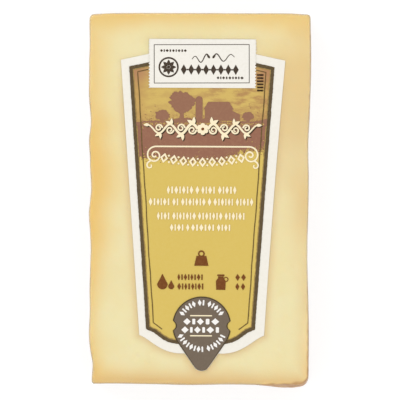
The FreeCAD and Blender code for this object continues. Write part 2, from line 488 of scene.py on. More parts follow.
CREST_INK = InkFinish("crest_ink_grey_brown", "#403428", "#605548", wear=0.4)
STAMP_INK = InkFinish("stamp_ink_black", "#250f00", "#4f3a22", wear=0.5)


# --- the cheese and its film -------------------------------------------------------------------


@dataclass(frozen=True)
class ToneStation:
    """How the paste colours in from a side at one place along it (mm); the tan is part painted shade."""

    along: float
    golden: float
    golden_depth: float
    browned_and_shaded: float
    browned_and_shaded_depth: float
    lip: float = 0.0


@dataclass(frozen=True)
class RindSide:
    """One side of the slab: the way that it faces, and how the paste colours towards it."""

    way: Vector
    stations: tuple[ToneStation, ...]

    def at(self, place: Vector) -> ToneStation:
        """Gives the tone at a place, eased between the stations on either side of it."""
        along = (place.y if self.way.x else place.x) / MM
        before = self.stations[0]
        for after in self.stations[1:]:
            if along < after.along:
                break
            before = after
        share = smooth(before.along, after.along, along) if after is not before else 0.0
        pairs = zip(
            (before.golden, before.golden_depth, before.browned_and_shaded, before.browned_and_shaded_depth, before.lip),
            (after.golden, after.golden_depth, after.browned_and_shaded, after.browned_and_shaded_depth, after.lip),
        )
        return ToneStation(along, *(first + (last - first) * share for first, last in pairs))


@dataclass(frozen=True)
class FilmCrease:
    """A low ridge in the film on the labelled face, along the foot or head edge."""

    at_y: float
    from_x: float
    to_x: float
    height: float
    spread: float
    slope: float

    def lift(self, x: float, y: float) -> float:
        """Gives the ridge's height at a place, in millimetres."""
        line = self.at_y + self.slope * (x - self.from_x) + 0.25 * math.sin(x / 3.1 + self.at_y)
        ends = smooth(self.from_x, self.from_x + 3.0, x) * smooth(self.to_x, self.to_x - 6.0, x)
        return self.height * bell(y - line, self.spread) * ends


@dataclass
class FilmFolds:
    """The folds that shrinking left in the film, which the soft paste takes up beneath it."""

    creases: tuple[FilmCrease, ...] = (
        FilmCrease(-52.1, -31.5, -12.0, 0.18, 0.42, 0.004),
        FilmCrease(-53.6, -32.0, -4.0, 0.24, 0.40, 0.002),
        FilmCrease(-50.6, -30.5, -22.0, 0.11, 0.45, -0.010),
        FilmCrease(-52.9, 6.0, 27.0, 0.10, 0.55, -0.004),
        FilmCrease(54.4, -31.0, -22.0, 0.10, 0.50, 0.020),
    )
    pleat_reach: float = 6.5
    pleat_height: float = 0.10
    pleat_turns: float = 9.0
    corner_turn: float = 1.7
    least_up: float = 0.3

    def lift(self, place: Vector, up: float, corners: Sequence[Vector]) -> float:
        """Gives the folds' height at a place on the labelled face.

        Args:
            place: The place, in metres.
            up: How far the surface faces up.
            corners: The slab's corners, from which small pleats fan in.

        Returns:
            The height, in millimetres.
        """
        if up < self.least_up:
            return 0.0
        x, y = place.x / MM, place.y / MM
        total = sum(crease.lift(x, y) for crease in self.creases)
        for number, corner in enumerate(corners):
            away = Vector((place.x - corner.x, place.y - corner.y))
            reach = away.length / MM
            if reach < self.pleat_reach:
                turn = math.atan2(away.y, away.x) * self.pleat_turns + number * self.corner_turn
                fade = smooth(self.pleat_reach, 1.0, reach) * smooth(0.3, 1.5, reach)
                total += self.pleat_height * fade * max(0.0, math.sin(turn)) ** 2
        return total


@dataclass(frozen=True)
class BareRind:
    """Where the film lies clear on the rind, low on the right: each pair is a start and its full place."""

    foot_across: tuple[float, float] = (15.0, 20.0)
    foot_down: tuple[float, float] = (-53.2, -54.4)
    side_across: tuple[float, float] = (29.5, 31.0)
    side_down: tuple[float, float] = (-28.0, -40.0)
    side_share: float = 0.6

    def at(self, place: Vector) -> float:
        """Gives how plainly a place shows its rind."""
        x, y = place.x / MM, place.y / MM
        foot = smooth(*self.foot_across, x) * smooth(*self.foot_down, y)
        return max(foot, self.side_share * smooth(*self.side_across, x) * smooth(*self.side_down, y))


def face_corners() -> list[Vector]:
    """Gives the four corners of the slab's box, seen from above."""
    low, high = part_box("wrapped_cheese")
    return [Vector((x, y, 0.0)) for x in (low.x, high.x) for y in (low.y, high.y)]


@dataclass
class CheeseSlab:
    """The cheese inside the film, with flat cut faces above and below and rind on four sides."""

    cell: float = 0.52
    film_gap: float = 0.10
    face_relief: float = 0.05
    rind_relief: float = 0.16
    # How far and how strongly painted shade spreads on the paste round the label, and where it fades towards
    # the head.
    label_shade_spread: float = 1.5
    label_shade_strength: float = 0.62
    label_shade_loss: float = 0.8
    label_shade_loss_up: tuple[float, float] = (26.0, 42.0)
    rind_turn: tuple[float, float] = (0.02, 0.25)
    bare_turn: float = 0.3
    fold_share: float = 0.8
    least_depth: float = 0.02
    # Each side's stations run from the foot to the head, or from left to right.
    left: RindSide = RindSide(Vector((-1.0, 0.0, 0.0)), (
        ToneStation(-52.0, 0.95, 5.5, 0.45, 2.6),
        ToneStation(-46.0, 0.64, 4.4, 0.12, 1.2),
        ToneStation(-37.0, 0.56, 2.8, 0.05, 1.0),
        ToneStation(-17.0, 0.84, 4.4, 0.05, 1.0),
        ToneStation(-8.0, 1.00, 6.3, 0.08, 1.0),
        ToneStation(10.0, 1.05, 7.9, 0.10, 1.0),
        ToneStation(20.0, 0.95, 6.9, 0.08, 1.0),
        ToneStation(30.0, 0.70, 5.7, 0.05, 1.0),
        ToneStation(52.0, 0.66, 6.2, 0.05, 1.0),
    ))
    head: RindSide = RindSide(Vector((0.0, 1.0, 0.0)), (
        ToneStation(-31.0, 0.85, 7.5, 0.05, 1.0),
        ToneStation(-21.0, 0.93, 4.4, 0.05, 1.0),
        ToneStation(-12.0, 0.82, 3.9, 0.0, 1.0),
        ToneStation(14.0, 0.82, 3.9, 0.0, 1.0),
        ToneStation(22.0, 0.82, 5.4, 0.0, 1.0),
        ToneStation(29.0, 0.80, 9.0, 0.0, 1.0),
    ))
    right: RindSide = RindSide(Vector((1.0, 0.0, 0.0)), (
        ToneStation(-52.0, 0.0, 1.0, 0.85, 3.0, 0.45),
        ToneStation(-35.0, 0.0, 1.0, 0.55, 2.8, 0.36),
        ToneStation(-18.0, 0.12, 5.0, 0.25, 3.6, 0.05),
        ToneStation(0.0, 0.25, 5.0, 0.60, 6.0, 0.10),
        ToneStation(12.0, 0.0, 5.0, 0.46, 14.0, 0.10),
        ToneStation(22.0, 0.0, 8.0, 0.62, 24.0, 0.26),
        ToneStation(38.0, 0.34, 14.0, 0.54, 26.0, 0.30),
        ToneStation(47.0, 0.32, 14.0, 0.28, 12.0, 0.26),
        ToneStation(53.0, 0.0, 1.0, 0.15, 4.0, 0.20),
    ))
    foot: RindSide = RindSide(Vector((0.0, -1.0, 0.0)), (
        ToneStation(-31.0, 0.92, 6.5, 0.70, 3.4, 0.0),
        ToneStation(-19.0, 0.30, 4.0, 1.00, 3.4, 0.0),
        ToneStation(-5.0, 0.10, 3.0, 1.00, 3.7, 0.12),
        ToneStation(13.0, 0.10, 3.0, 0.88, 3.5, 0.12),
        ToneStation(18.0, 0.10, 3.0, 0.92, 3.3, 0.45),
        ToneStation(25.0, 0.20, 3.0, 1.00, 3.6, 1.00),
        ToneStation(29.0, 0.20, 3.0, 1.00, 3.6, 1.35),
    ))
    # Eyes in the cut face: place in the frame, radius and depth.
    eyes: tuple[tuple[float, float, float, float], ...] = (
        (-21.5, -42.5, 0.9, 0.26),
        (-25.7, -45.2, 0.6, 0.20),
        (-19.1, -46.4, 1.0, 0.30),
        (-15.6, -47.9, 0.7, 0.26),
        (-13.8, -45.8, 0.5, 0.20),
        (22.9, -44.6, 0.8, 0.22),
        (12.0, -47.8, 0.6, 0.22),
        (-28.4, -33.0, 0.6, 0.14),
        (27.5, -20.0, 0.7, 0.14),
        (24.2, 33.5, 0.6, 0.14),
        (-24.5, 41.0, 0.7, 0.14),
    )
    further_eyes: int = 26
    seed: int = 5

    def build(
        self, finish: WashedRindCheeseFinish, folds: FilmFolds, bare_rind: BareRind
    ) -> bpy.types.Object:
        """Builds the cheese from the slab's solid.

        Args:
            finish: The cheese's finish.
            folds: The film's folds, which the paste follows.
            bare_rind: Where the rind reaches further over the edge and shows plainly.

        Returns:
            The piece.
        """
        solid = merged_copy("wrapped_cheese")
        outline = BVHTree.FromBMesh(solid)
        label = BVHTree.FromBMesh(merged_copy("front_label"))
        low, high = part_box("wrapped_cheese")
        corners = face_corners()
        skin = even_skin(solid, self.cell)
        under = skin.verts.layers.float.new("under_rind")
        browned_and_shaded = skin.verts.layers.float.new("browned_and_shaded")
        covered = skin.verts.layers.float.new("rind")
        label_shade_mask = skin.verts.layers.float.new("label_shade")
        middle = (low.z + high.z) / 2.0
        eyes = [*self.eyes, *self._further_eyes(low, high)]
        for vert in skin.verts:
            facing = abs(vert.normal.z)
            # The tan share that comes back is partly painted shade where the edges round away.
            inner = Vector((vert.co.x, vert.co.y, middle))
            gold, brown, lip = self._tone(outline, inner)
            vert[under] = gold
            vert[browned_and_shaded] = brown
            start, full = self.rind_turn
            full += self.bare_turn * bare_rind.at(vert.co)
            vert[covered] = max(lip, 1.0 - smooth(start, full, facing))
            # Painted shade on the upward face next to the label, weaker towards the head.
            off_label = label.find_nearest(vert.co)[3] / MM
            loss = self.label_shade_loss * smooth(*self.label_shade_loss_up, vert.co.y / MM)
            strength = self.label_shade_strength * (1.0 - loss)
            vert[label_shade_mask] = strength * bell(off_label, self.label_shade_spread) if vert.normal.z > 0.5 else 0.0
            depth = self.film_gap + self._relief(vert.co, facing)
            depth += self._eye_depth(vert.co, vert.normal.z, eyes)
            depth -= self.fold_share * folds.lift(vert.co, vert.normal.z, corners)
            vert.co -= vert.normal * max(depth, self.least_depth) * MM
        return finish_piece(skin, "cheese", finish.build(), shade_smooth=True)

    def _further_eyes(self, low: Vector, high: Vector) -> list[tuple[float, float, float, float]]:
        """Scatters small eyes over both cut faces, in the frame's millimetres."""
        chance = random.Random(self.seed)
        margin = 4.0 * MM
        return [
            (
                chance.uniform(low.x + margin, high.x - margin) / MM,
                chance.uniform(low.y + margin, high.y - margin) / MM,
                chance.uniform(0.35, 0.6),
                chance.uniform(0.06, 0.14),
            )
            for _ in range(self.further_eyes)
        ]

    def _tone(self, outline: BVHTree, inner: Vector) -> tuple[float, float, float]:
        """Works out the paste's tone over a place.

        Args:
            outline: The slab's surface.
            inner: The place, at half the slab's height.

        Returns:
            How golden the paste is, how much tan it takes, which is partly painted shade, and how far the
            rind laps over it.
        """
        gold, brown, lip = 0.0, 0.0, 0.0
        drift = 1.0 + 0.14 * noise.noise(inner * per_metre(11.0))
        for side in (self.left, self.head, self.right, self.foot):
            reach = outline.ray_cast(inner, side.way)[3]
            reach = 0.0 if reach is None else reach / MM
            tone = side.at(inner)
            gold = max(gold, tone.golden * bell(reach, tone.golden_depth * drift))
            brown = max(brown, tone.browned_and_shaded * bell(reach, tone.browned_and_shaded_depth * drift))
            if tone.lip > 0.0:
                ragged = tone.lip * (1.0 + 0.5 * noise.noise(inner * per_metre(2.5)))
                lip = max(lip, 1.0 - smooth(0.55 * ragged, 1.3 * ragged, reach))
        return gold, brown, 0.85 * lip

    def _relief(self, place: Vector, facing: float) -> float:
        """Gives how far the surface lies in from the film, from its own unevenness."""
        rough = noise.fractal(place * per_metre(3.2), 0.8, 2.1, 4)
        calm = noise.noise(place * per_metre(14.0))
        share = 1.0 - smooth(0.5, 0.9, facing)
        return max(-0.06, self.rind_relief * rough * share + self.face_relief * calm)

    def _eye_depth(
        self, place: Vector, up: float, eyes: Iterable[tuple[float, float, float, float]]
    ) -> float:
        """Gives how deep the eyes are at a place on a cut face."""
        if abs(up) < 0.8:
            return 0.0
        x, y = place.x / MM, place.y / MM
        return max(
            (depth * bell(math.hypot(x - at_x, y - at_y), radius) for at_x, at_y, radius, depth in eyes),
            default=0.0,
        )


@dataclass
class ShrinkFilm:
    """The clear film, a thin closed skin that hugs the cheese and stands off its rind in ripples."""

    cell: float = 0.5
    side_ripple: float = 0.10
    # How strong the painted pale sheen on the edges is, at which tilt it is strongest, and how far it
    # spreads.
    sheen_strength: float = 0.6
    sheen_facing: float = 0.4
    sheen_spread: float = 0.36
    gloss: float = 0.5
    bare_sheen_loss: float = 0.95
    bare_gloss_loss: float = 0.9
    settling: float = 0.4

    def build(
        self, finish: ShrinkFilmFinish, folds: FilmFolds, bare_rind: BareRind
    ) -> bpy.types.Object:
        """Builds the film round the slab's solid.

        Args:
            finish: The film's finish.
            folds: Its folds.
            bare_rind: Where it lies clear on the rind.

        Returns:
            The piece, which stands for the slab's solid.
        """
        skin = even_skin(merged_copy("wrapped_cheese"), self.cell)
        corners = face_corners()
        sheen_mask = skin.verts.layers.float.new("painted_edge_sheen")
        shine = skin.verts.layers.float.new("gloss_share")
        for vert in skin.verts:
            # Painted pale sheen on the film where it rounds the edges, less where it lies clear on the rind.
            drawn = bell(abs(vert.normal.z) - self.sheen_facing, self.sheen_spread)
            bare = bare_rind.at(vert.co)
            vert[sheen_mask] = self.sheen_strength * drawn * (1.0 - self.bare_sheen_loss * bare)
            vert[shine] = self.gloss * (1.0 - self.bare_gloss_loss * bare)
            lift = folds.lift(vert.co, vert.normal.z, corners) + self._ripples(vert.co, abs(vert.normal.z))
            settled = smooth(0.0, self.settling, vert.co.z / MM) if vert.normal.z < 0.0 else 1.0
            vert.co += vert.normal * lift * settled * MM
        piece = finish_piece(skin, "shrink_film", finish.build(), shade_smooth=True)
        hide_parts("wrapped_cheese")
        return piece

    def _ripples(self, place: Vector, facing: float) -> float:
        """Gives the film's slight stand-off from the rind along the sides."""
        wave = noise.noise(Vector((place.x, place.y, place.z * 2.6)) * per_metre(7.0))
        return self.side_ripple * max(0.0, wave) * (1.0 - smooth(0.4, 0.95, facing))


# --- the label ---------------------------------------------------------------------------------


class InkLayer(Enum):
    """The order in which the inks lie on the paper, from the lowest up."""

    FIELD = 0
    BAND = 1
    WASH = 2
    PICTURE = 3
    FRAME = 4
    MARKS = 5
    PLATE = 6
    CREST = 7
    BADGE_MARKS = 8


class MarkForm(Enum):
    """What fills one place in a row of small ornaments."""

    DIAMOND = "a diamond"
    BAR = "an upright bar"


MARKS_IN_TURN = (MarkForm.DIAMOND, MarkForm.BAR)


@dataclass(frozen=True)
class LabelPlace:
    """The label's own axes: x across and y up from its lowest point, in millimetres."""

    centre: Vector
    length: float
    tilt: float = math.radians(-0.3)
    ticket_left: float = 16.2
    ticket_right: float = 15.85
    shoulder_drop: float = 6.3
    ink: float = 0.012
    layer_step: float = 0.024

    @classmethod
    def from_frame(cls) -> "LabelPlace":
        """Finds the label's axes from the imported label's box."""
        low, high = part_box("front_label")
        length = (high.y - low.y) / MM + cls.ticket_left * math.sin(cls.tilt)
        lean = (length / 2.0 - cls.shoulder_drop) * math.sin(cls.tilt)
        centre = Vector(((low.x + high.x) / 2.0 / MM + lean, low.y / MM + length / 2.0, high.z / MM))
        return cls(centre, length)

    def to_frame(self, lift: float = 0.0) -> Matrix:
        """Gives the matrix from label millimetres to frame metres.

        Args:
            lift: Height over the paper, in millimetres.

        Returns:
            The matrix.
        """
        return (
            Matrix.Scale(MM, 4)
            @ Matrix.Translation(self.centre + UP * lift)
            @ Matrix.Rotation(self.tilt, 4, "Z")
            @ Matrix.Translation((0.0, -self.length / 2.0, 0.0))
        )


@dataclass(frozen=True)
class PanelShape:
    """The printed panel's outline, even about an axis that lies left of the label's middle."""

    axis: float = -0.36
    head_half: float = 21.54
    head: float = 90.15
    foot_half: float = 16.13
    foot: float = 12.37
    shoulder_slope: float = 0.22
    under_ticket: float = 14.5
    hem: tuple[tuple[float, float], ...] = ((13.85, 11.36), (11.1, 9.3), (9.4, 8.5), (7.2, 8.02))

    def half(self, y: float, inset: float = 0.0) -> float:
        """Gives how far from the axis a long edge is at this height, moved inwards."""
        share = (y - self.foot) / (self.head - self.foot)
        return self.foot_half + (self.head_half - self.foot_half) * share - inset

    def corners(self) -> list[tuple[float, float]]:
        """Gives the outline's corners, down the right side and up the left."""
        shoulder = self.head + self.shoulder_slope * (self.head_half - self.under_ticket)
        right = [(self.under_ticket, shoulder), (self.head_half, self.head), (self.foot_half, self.foot)]
        right += self.hem
        left = [(-x, y) for x, y in reversed(right)]
        return [(self.axis + x, y) for x, y in [*right, *left]]


def spot(x: float, y: float, turn: float = 0.0) -> Matrix:
    """Gives the matrix that turns a shape, in radians, and sets it at a place on the label."""
    return Matrix.Translation((x, y, 0.0)) @ Matrix.Rotation(turn, 4, "Z")


class InkSheet:
    """Flat shapes of one ink, gathered in label millimetres and then laid on the paper."""

    hair = 0.0025
    hairs = 8
    lift = 0.004
    brush_seed = 5

    def __init__(self, name: str, layer: InkLayer) -> None:
        """Starts an empty sheet with the piece's name, whose ink lies this high."""
        self.name = name
        self.layer = layer
        self.bm = bmesh.new()
        self.shapes = 0

    def settle(self, verts: Iterable[bmesh.types.BMVert], place: Matrix) -> None:
        """Moves a new shape to its place, a hair over the last one, so that no two tops coincide."""
        hairs = 1 + self.shapes % self.hairs if self.shapes else 0
        self.shapes += 1
        rise = Matrix.Translation((0.0, 0.0, self.hair * hairs))
        bmesh.ops.transform(self.bm, matrix=rise @ place, verts=list(verts))

    def raise_faces(self, faces: Sequence[bmesh.types.BMFace], place: Matrix = Matrix.Identity(4)) -> None:
        """Gives new flat faces the ink's thickness and settles them in their place."""
        flat = {vert for face in faces for vert in face.verts}
        raised = bmesh.ops.extrude_face_region(self.bm, geom=list(faces))
        top = [item for item in raised["geom"] if isinstance(item, bmesh.types.BMVert)]
        bmesh.ops.translate(self.bm, vec=UP * LabelPlace.ink, verts=top)
        self.settle([*flat, *top], place)

    def polygon(self, corners: Sequence[tuple[float, float]], place: Matrix = Matrix.Identity(4)) -> None:
        """Adds a flat shape with these corners."""
        verts = [self.bm.verts.new((x, y, 0.0)) for x, y in corners]
        self.raise_faces([self.bm.faces.new(verts)], place)

    def rim(self, face: bmesh.types.BMFace, width: float) -> list[bmesh.types.BMFace]:
        """Insets a flat face evenly and gives the faces of the rim round what is left of it."""
        made = bmesh.ops.inset_region(
            self.bm, faces=[face], thickness=width, use_boundary=True, use_even_offset=True
        )
        return made["faces"]

    def circle(self, segments: int, radius: float) -> bmesh.types.BMFace:
        """Starts a flat round face, which isn't raised yet."""
        made = bmesh.ops.create_circle(self.bm, cap_ends=True, segments=segments, radius=radius)
        return made["verts"][0].link_faces[0]

    def hollow(self, face: bmesh.types.BMFace, width: float, place: Matrix) -> None:
        """Keeps a line of this width along a flat face's edge, and raises it in its place."""
        line = self.rim(face, width)
        bmesh.ops.delete(self.bm, geom=[face], context="FACES_ONLY")
        self.raise_faces(line, place)

    def inside(self, corners: Sequence[tuple[float, float]], inset: float) -> bmesh.types.BMFace:
        """Starts a flat face whose edge lies this far inside a closed outline."""
        face = self.bm.faces.new([self.bm.verts.new((x, y, 0.0)) for x, y in corners])
        face.normal_update()
        if inset > 0.0:
            bmesh.ops.delete(self.bm, geom=self.rim(face, inset), context="FACES")
        return face

    def rough_ring(
        self, corners: Sequence[tuple[float, float]], inset: float, width: float, cell: float,
        roughness: float,
    ) -> None:
        """Adds a line inside a closed outline, with brushed edges.

        Args:
            corners: The outline's corners, which have to lie well apart.
            inset: How far inside the outline the line starts.
            width: The line's width.
            cell: How far apart the rough edges' points lie.
            roughness: How far they stray.
        """
        inner = self.inside(corners, inset)
        self.rim(inner, width)
        bmesh.ops.delete(self.bm, geom=[inner], context="FACES_ONLY")
        for edge in [edge for edge in self.bm.edges if edge.is_boundary]:
            bmesh.ops.subdivide_edges(self.bm, edges=[edge], cuts=round(edge.calc_length() / cell))
        # Vector noise is offset by the time of day unless it is seeded.
        noise.seed_set(self.brush_seed)
        for vert in self.bm.verts:
            shake = noise.noise_vector(vert.co * 1.9) + 0.6 * noise.noise_vector(vert.co * 4.7)
            vert.co += Vector((shake.x, shake.y, 0.0)) * roughness
        self.raise_faces(self.bm.faces[:])

    def disc(self, x: float, y: float, radius: float, segments: int = 20, squash: float = 1.0) -> None:
        """Adds a disc, or an oval whose height is this share of its width."""
        oval = Matrix.Diagonal((1.0, squash, 1.0, 1.0))
        self.raise_faces([self.circle(segments, radius)], spot(x, y) @ oval)

    def leaf(self, x: float, y: float, turn: float, length: float, width: float, curl: float = 0.0) -> None:
        """Adds a leaf that grows from a point.

        Args:
            x: Its root across the label.
            y: Its root up the label.
            turn: The way it grows, in radians.
            length: From root to tip.
            width: At its widest.
            curl: How far its tip bends aside.
        """
        blade = self.circle(18, 1.0)
        for vert in blade.verts:
            along, aside = (vert.co.x + 1.0) / 2.0, vert.co.y
            vert.co.x = along * length
            vert.co.y = aside * (1.0 - along ** 3) * width * 0.62 + curl * along * along
        self.raise_faces([blade], spot(x, y, turn))

    def block(self, x: float, y: float, width: float, height: float, turn: float = 0.0) -> None:
        """Adds an upright block with cut corners, centred on a point."""
        made = bmesh.ops.create_grid(self.bm, x_segments=1, y_segments=1, size=0.5)
        bmesh.ops.scale(self.bm, vec=(width, height, 1.0), verts=made["verts"])
        cut = bmesh.ops.bevel(
            self.bm, geom=made["verts"], offset=min(width, height) * 0.2, affect="VERTICES",
            segments=1, profile=0.5, material=-1,
        )
        self.raise_faces(list({face for vert in cut["verts"] for face in vert.link_faces}), spot(x, y, turn))

    def lozenge(self, x: float, y: float, width: float, height: float, turn: float = 0.0) -> None:
        """Adds a diamond, centred on a point."""
        size = Matrix.Diagonal((width, height, 1.0, 1.0))
        self.raise_faces([self.circle(4, 0.5)], spot(x, y, turn) @ size)

    def ring(self, x: float, y: float, radius: float, width: float, segments: int = 40) -> None:
        """Adds a ring whose outer radius and line width are given."""
        self.hollow(self.circle(segments, radius), width, spot(x, y))

    def stroke(
        self, route: Sequence[tuple[float, float]], width: float, taper: float = 1.0, straight: bool = False
    ) -> None:
        """Adds a pen line along a route, with closed ends.

        Args:
            route: The points that it follows.
            width: The line's width.
            taper: The share of that width that is left at the route's last point.
            straight: Whether it turns at the points instead of rounding them.
        """
        curve = bpy.data.curves.new(self.name, "CURVE")
        curve.dimensions = "3D"
        curve.bevel_depth = width / 2.0
        curve.bevel_resolution = 1
        curve.use_fill_caps = True
        spline = curve.splines.new("POLY" if straight else "NURBS")
        spline.points.add(len(route) - 1)
        last = len(route) - 1
        for number, (point, (x, y)) in enumerate(zip(spline.points, route)):
            point.co = (x, y, 0.0, 1.0)
            point.radius = 1.0 + (taper - 1.0) * (number / last) ** 1.5
        if not straight:
            spline.order_u = 3
            spline.use_endpoint_u = True
            spline.resolution_u = 6
        holder = bpy.data.objects.new(self.name, curve)
        tube = bpy.data.meshes.new_from_object(holder)
        line = bmesh.new()
        line.from_mesh(tube)
        bmesh.ops.remove_doubles(line, verts=line.verts, dist=1e-5)
        line.to_mesh(tube)
        line.free()
        before = len(self.bm.verts)
        self.bm.from_mesh(tube)
        self.bm.verts.ensure_lookup_table()
        flat = Matrix.Diagonal((1.0, 1.0, 1.6 * LabelPlace.ink / width, 1.0))
        bmesh.ops.transform(self.bm, matrix=flat, verts=self.bm.verts[before:])
        bpy.data.objects.remove(holder)
        bpy.data.curves.remove(curve)
        bpy.data.meshes.remove(tube)

    def mark_row(
        self, left: float, right: float, low: float, high: float, words: Sequence[int], seed: int
    ) -> None:
        """Adds a row of diamonds and bars in groups, as dense as a line of narrow print is from afar.

        Args:
            left: Where the row starts.
            right: Where it ends.
            low: The bars' foot.
            high: The bars' top.
            words: How many places each group has.
            seed: Varies the places' widths.
        """
        chance = random.Random(seed)
        shares = [[chance.uniform(0.85, 1.15) for _ in range(count)] for count in words]
        gap = 0.10 * (high - low)
        space = 3.4 * gap
        free = right - left - space * (len(words) - 1) - gap * sum(count - 1 for count in words)
        unit = free / sum(sum(group) for group in shares)
        x = left
        for group in shares:
            for number, share in enumerate(group):
                form = MARKS_IN_TURN[number % len(MARKS_IN_TURN)]
                self.mark(x + share * unit / 2.0, (low + high) / 2.0, share * unit, high - low, form)
                x += share * unit + gap
            x += space - gap

    def mark(
        self, x: float, y: float, width: float, height: float, form: MarkForm, turn: float = 0.0
    ) -> None:
        """Fills one place of a row.

        Args:
            x: The middle of the place.
            y: Its height on the label.
            width: The place's width.
            height: The mark's height.
            form: What the place is filled with.
            turn: How far the mark is turned.
        """
        if form is MarkForm.BAR:
            self.block(x, y, 0.5 * width, 0.92 * height, turn)
        else:
            self.lozenge(x, y, 1.18 * width, 1.12 * height, turn)

    def mark_arc(
        self, centre: tuple[float, float], radius: float, start: float, end: float, height: float,
        words: Sequence[int],
    ) -> None:
        """Adds groups of diamonds and bars along an arc, each standing on its radius.

        Args:
            centre: The arc's centre.
            radius: To the marks' middles.
            start: The first place's angle, in degrees.
            end: The last place's angle.
            height: The marks' height, along the radius.
            words: How many places each group has.
        """
        places = sum(words) + 0.6 * (len(words) - 1)
        step = (end - start) / (places - 1)
        width = radius * math.radians(abs(step))
        reached = 0.0
        for count in words:
            for number in range(count):
                angle = math.radians(start + step * reached)
                x, y = centre[0] + radius * math.cos(angle), centre[1] + radius * math.sin(angle)
                form = MARKS_IN_TURN[number % len(MARKS_IN_TURN)]
                self.mark(x, y, 0.84 * width, height, form, angle - math.pi / 2.0)
                reached += 1.0
            reached += 0.6

    def press(self, place: LabelPlace, finish: bpy.types.Material) -> bpy.types.Object:
        """Lays the sheet on the label.

        Args:
            place: The label's axes.
            finish: The ink.

        Returns:
            The piece.
        """
        bmesh.ops.recalc_face_normals(self.bm, faces=self.bm.faces)
        level = place.to_frame(self.lift + self.layer.value * LabelPlace.layer_step)
        bmesh.ops.transform(self.bm, matrix=level, verts=self.bm.verts)
        return finish_piece(self.bm, self.name, finish)


@dataclass
class PanelPrint:
    """The panel's ground: a golden field, a brown band across it, a rough frame and a fine line."""

    shape: PanelShape = PanelShape()
    frame_width: float = 1.0
    under_frame: float = 0.5
    wash_start: float = 0.6
    wash_width: float = 0.7
    line_width: float = 0.3
    line_head: tuple[float, float] = (19.0, 88.6)
    line_foot: tuple[float, float] = (14.0, 14.3)
    line_end: tuple[float, float] = (11.35, 12.33)
    band_top: float = 73.5
    band_low_left: float = 63.2
    band_low_middle: float = 62.2
    band_low_right: float = 65.4
    roughness: float = 0.08
    cell: float = 0.5
    specks: int = 420
    seed: int = 11

    def build(self, place: LabelPlace) -> None:
        """Builds the ground's pieces."""
        self._field(place)
        self._band(place)
        self._frame(place)
        self._line(place)

    def _field(self, place: LabelPlace) -> None:
        """Lays the golden field, out to under the frame."""
        sheet = InkSheet("golden_field", InkLayer.FIELD)
        sheet.raise_faces([sheet.inside(self.shape.corners(), self.under_frame)])
        sheet.press(place, GoldenFieldFinish().build(place.to_frame().inverted()))

    def _frame(self, place: LabelPlace) -> None:
        """Lays the dark frame, whose edges are brushed, over a thinner wash of its ink."""
        corners = self.shape.corners()
        wash = InkSheet("panel_frame_wash", InkLayer.WASH)
        wash.rough_ring(corners, self.wash_start, self.wash_width, self.cell, 1.8 * self.roughness)
        wash.press(place, WASH_INK.build())
        sheet = InkSheet("panel_frame", InkLayer.FRAME)
        sheet.rough_ring(corners, 0.0, self.frame_width, self.cell, self.roughness)
        sheet.press(place, DARK_INK.build())

    def _line(self, place: LabelPlace) -> None:
        """Lays the fine, hand-drawn line inside the frame."""
        sheet = InkSheet("panel_fine_line", InkLayer.FRAME)
        head_out, head_up = self.line_head
        inward = head_out - place.ticket_right + 0.6
        for side in (-1, 1):
            turned, foot, corner, end = (
                Vector((self.shape.axis + side * out, up)) for out, up in (
                    self.line_end, self.line_foot, self.line_head,
                    (head_out - inward, head_up + self.shape.shoulder_slope * inward),
                )
            )
            steps = 26
            route = [turned, foot]
            for step in range(1, steps):
                wobble = 0.05 * math.sin(step * 1.7 + side) + 0.05 * math.sin(step * 0.61)
                route.append(foot.lerp(corner, step / steps) + Vector((wobble, 0.0)))
            route += [corner, end]
            sheet.stroke([(point.x, point.y) for point in route], self.line_width, straight=True)
        sheet.press(place, LINE_INK.build())

    def _band(self, place: LabelPlace) -> None:
        """Lays the brown band with its ragged edges, and the wear and spatter round it."""
        sheet = InkSheet("brown_band", InkLayer.BAND)
        made = bmesh.ops.create_grid(sheet.bm, x_segments=170, y_segments=1, size=0.5)
        for vert in made["verts"]:
            share, top = 2.0 * vert.co.x, vert.co.y > 0.0
            x = self.shape.axis + share * self.shape.half(self.band_top, self.under_frame)
            ragged = noise.fractal(Vector((x * 0.9, 5.0 if top else 9.0, 0.0)), 0.7, 2.2, 4)
            y = self.band_top + 0.35 * ragged if top else self._band_low(x) + 0.9 * ragged
            vert.co = Vector((self.shape.axis + share * self.shape.half(y, self.under_frame), y, 0.0))
        sheet.raise_faces(sheet.bm.faces[:])
        wear = InkSheet("brown_band_wear", InkLayer.PICTURE)
        chance = random.Random(self.seed)
        reach = self.shape.half(self.band_low_left) - 1.6
        for _ in range(self.specks):
            self._speck(sheet, chance, reach, self._band_low, -0.35)
            self._speck(wear, chance, reach, self._band_low, 0.55)
            self._speck(sheet, chance, reach, self._band_high, 1.2)
            self._speck(wear, chance, reach, self._band_high, -0.35)
        sheet.press(place, BAND_INK.build())
        wear.press(place, WORN_INK.build())

    def _speck(
        self, sheet: InkSheet, chance: random.Random, reach: float, edge: Callable[[float], float],
        drift: float,
    ) -> None:
        """Adds a speck of ink by one of the band's edges, most of them close to it.

        Args:
            sheet: The ink that the speck is of.
            chance: The source of its place and size.
            reach: How far out it may lie.
            edge: Gives the edge's height.
            drift: How far from the edge the specks lie on average, and to which side.
        """
        x = chance.uniform(-reach, reach)
        away = drift * chance.expovariate(1.0)
        sheet.disc(x, edge(x) + away, chance.uniform(0.05, 0.17), 6, chance.uniform(0.4, 1.0))

    def _band_low(self, x: float) -> float:
        """Gives the height of the band's lower edge, which rises to the right."""
        left = self.band_low_middle + (self.band_low_left - self.band_low_middle) * smooth(-2.0, -17.0, x)
        return left + (self.band_low_right - self.band_low_middle) * smooth(5.0, 14.0, x)

    def _band_high(self, x: float) -> float:
        """Gives the height of the band's upper edge."""
        return self.band_top


